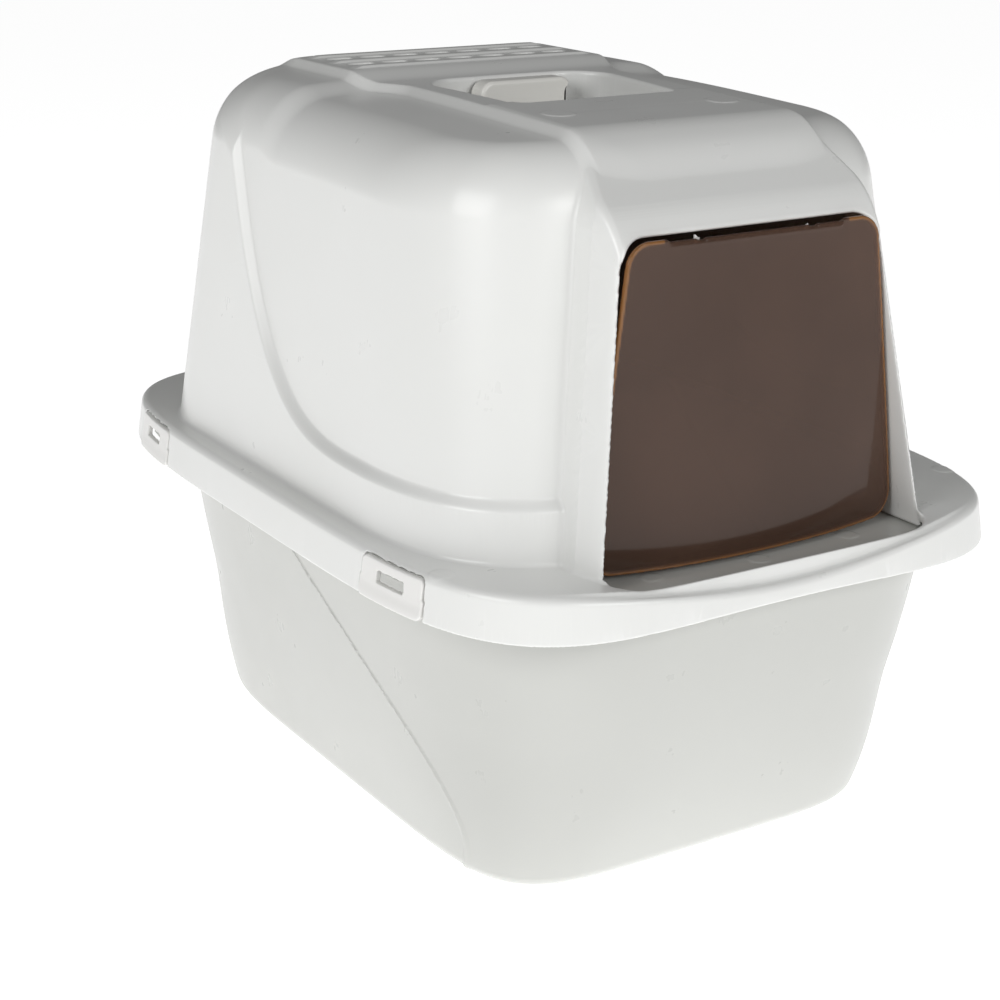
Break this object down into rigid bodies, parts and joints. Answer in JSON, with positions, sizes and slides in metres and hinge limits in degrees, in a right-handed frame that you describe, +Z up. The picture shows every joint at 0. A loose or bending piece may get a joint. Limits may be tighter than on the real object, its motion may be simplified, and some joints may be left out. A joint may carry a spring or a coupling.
{
  "type": "hooded cat litter box",
  "caption": "Cat litter pan with a lift-off domed hood, a tinted swinging entry flap, edge latches, a carry recess and a slotted filter vent in the roof.",
  "frame": {"origin": "centre of the base, on the floor", "axes": "+Z up, the entry faces -Y, +X to the right seen from the front"},
  "size_m": [0.3556, 0.4826, 0.3937],
  "materials": {
    "pan": "glossy warm light grey",
    "hood": "glossy pearl white",
    "flap": "smoke brown tinted clear plastic",
    "latch": "satin pearl white",
    "grip": "satin cream white",
    "filter": "carbon-loaded felt",
    "tray": "matte light grey"
  },
  "bodies": {
    "pan": {"litter_pan": "pan"},
    "hood": {"hood_shell": "hood", "carry_grip": "grip", "filter_pad": "filter", "filter_tray": "tray"},
    "flap": {"door_flap": "flap"},
    "latch_front_left": {"latch_front_left": "latch"},
    "latch_front_right": {"latch_front_right": "latch"},
    "latch_rear_left": {"latch_rear_left": "latch"},
    "latch_rear_right": {"latch_rear_right": "latch"}
  },
  "joints": [
    {"name": "hood_lift", "type": "slide", "parent": "pan", "child": "hood", "axis": [0, 0, 1], "range_m": [0, 0.25]},
    {"name": "flap_swing", "type": "hinge", "parent": "hood", "child": "flap", "pos_m": [0, -0.197, 0.3365], "axis": [1, 0, 0], "range_deg": [-70, 80]},
    {"name": "front_left_latch", "type": "hinge", "parent": "hood", "child": "latch_front_left", "pos_m": [-0.16997, -0.14279, 0.1804], "axis": [-0.1225, 0.9925, 0], "range_deg": [0, 100]},
    {"name": "front_right_latch", "type": "hinge", "parent": "hood", "child": "latch_front_right", "pos_m": [0.16997, -0.14279, 0.1804], "axis": [-0.1225, -0.9925, 0], "range_deg": [0, 100]},
    {"name": "rear_left_latch", "type": "hinge", "parent": "hood", "child": "latch_rear_left", "pos_m": [-0.16997, 0.14279, 0.1804], "axis": [0.1225, 0.9925, 0], "range_deg": [0, 100]},
    {"name": "rear_right_latch", "type": "hinge", "parent": "hood", "child": "latch_rear_right", "pos_m": [0.16997, 0.14279, 0.1804], "axis": [0.1225, -0.9925, 0], "range_deg": [0, 100]}
  ]
}
